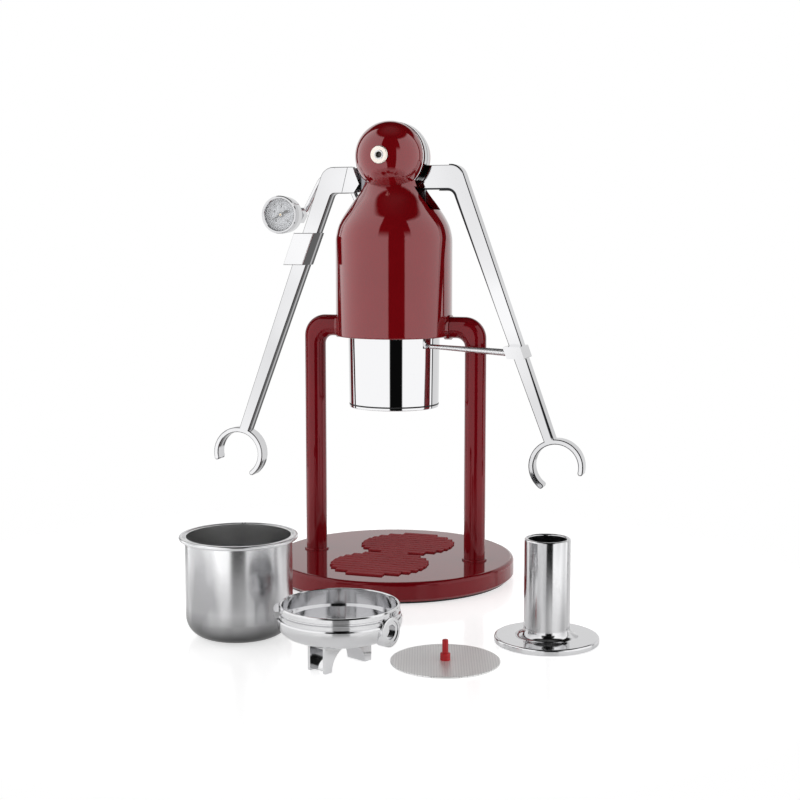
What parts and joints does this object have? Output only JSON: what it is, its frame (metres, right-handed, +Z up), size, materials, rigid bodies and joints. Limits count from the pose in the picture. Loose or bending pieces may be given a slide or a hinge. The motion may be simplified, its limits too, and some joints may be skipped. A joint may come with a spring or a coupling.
{
  "type": "manual lever coffee press",
  "caption": "Hand-lever coffee press on a round base with a ribbed mat, two geared levers, a rack-driven piston, a pressure gauge and loose basket, holder, screen and tamper.",
  "frame": {"origin": "centre of the round base, on the floor", "axes": "+Z up, -Y towards the front of the press, +X to the right seen from the front"},
  "size_m": [0.296, 0.3219, 0.3092],
  "materials": {
    "red_paint": "gloss",
    "red_silicone": "satin",
    "black_rubber": "matt",
    "polished_steel": "mirror",
    "satin_steel": "satin",
    "dark_steel": "satin",
    "polished_brass": "satin",
    "dial_white": "matt",
    "needle_black": "matt",
    "clear_glass": "clear",
    "signal_silicone": "satin"
  },
  "bodies": {
    "stand": {"base_plate": "red_paint", "foot_pad": "black_rubber", "ribbed_mat": "red_silicone", "leg_left": "red_paint", "leg_right": "red_paint", "leg_collars": "red_paint", "leg_screws": "dark_steel", "body_casting": "red_paint", "guide_plate": "dark_steel", "guide_bush": "polished_brass", "guide_circlip": "dark_steel", "pivot_shaft": "dark_steel", "eye_bolt": "polished_steel", "rear_bolt": "polished_steel", "hub_washer": "satin_steel"},
    "left_lever": {"arm_left": "polished_steel", "gear_left": "dark_steel", "arm_clip": "polished_steel"},
    "right_lever": {"arm_right": "polished_steel", "gear_right": "dark_steel", "stay_collar": "polished_steel", "stay_rod": "polished_steel"},
    "piston_group": {"crossbar": "dark_steel", "crossbar_screw": "dark_steel", "rack_left": "dark_steel", "rack_right": "dark_steel", "rack_screws": "dark_steel", "piston_rod": "satin_steel", "piston_shell": "polished_steel", "piston_seal": "black_rubber", "piston_base": "satin_steel", "piston_screw": "dark_steel", "gauge_tube": "polished_steel", "tube_fitting": "dark_steel", "gauge_nut": "polished_steel", "gauge_stem": "polished_steel", "gauge_case": "polished_steel", "gauge_bezel": "polished_steel", "gauge_dial": "dial_white", "gauge_lens": "clear_glass", "gauge_movement": "polished_brass"},
    "pointer": {"gauge_needle": "needle_black"},
    "loose_basket": {"basket": "satin_steel"},
    "loose_holder": {"portafilter_body": "polished_steel", "portafilter_floor": "polished_steel", "portafilter_spout": "polished_steel", "spout_bush": "satin_steel", "boss_insert": "satin_steel"},
    "loose_screen": {"screen_disc": "satin_steel", "screen_stem": "signal_silicone", "screen_rivet": "dark_steel"},
    "loose_tamper": {"tamper_base": "satin_steel", "tamper_tube": "satin_steel"}
  },
  "joints": [
    {"name": "left_lever_pivot", "type": "hinge", "parent": "stand", "child": "left_lever", "pos_m": [0, 0, 0.2858], "axis": [0, 1, 0], "range_deg": [0, 115]},
    {"name": "right_lever_pivot", "type": "hinge", "parent": "stand", "child": "right_lever", "pos_m": [0, 0, 0.2858], "axis": [0, -1, 0], "range_deg": [0, 115]},
    {"name": "piston_slide", "type": "slide", "parent": "stand", "child": "piston_group", "axis": [0, 0, 1], "range_m": [0, 0.0322]},
    {"name": "gauge_pointer_pivot", "type": "hinge", "parent": "piston_group", "child": "pointer", "pos_m": [-0.0846, 0.0048, 0.2478], "axis": [0, 1, 0], "range_deg": [0, 270], "stiffness_Nm_per_rad": 0.0001},
    {"name": "basket_lift", "type": "slide", "parent": "stand", "child": "loose_basket", "axis": [0, 0, 1], "range_m": [0, 0.1]},
    {"name": "holder_lift", "type": "slide", "parent": "stand", "child": "loose_holder", "axis": [0, 0, 1], "range_m": [0, 0.1]},
    {"name": "screen_lift", "type": "slide", "parent": "stand", "child": "loose_screen", "axis": [0, 0, 1], "range_m": [0, 0.012]},
    {"name": "tamper_lift", "type": "slide", "parent": "stand", "child": "loose_tamper", "axis": [0, 0, 1], "range_m": [0, 0.1]}
  ],
  "couplings": [
    {"joint": "right_lever_pivot", "follows": "left_lever_pivot", "ratio": 1},
    {"joint": "piston_slide", "follows": "left_lever_pivot", "m_per_rad": 0.016}
  ]
}
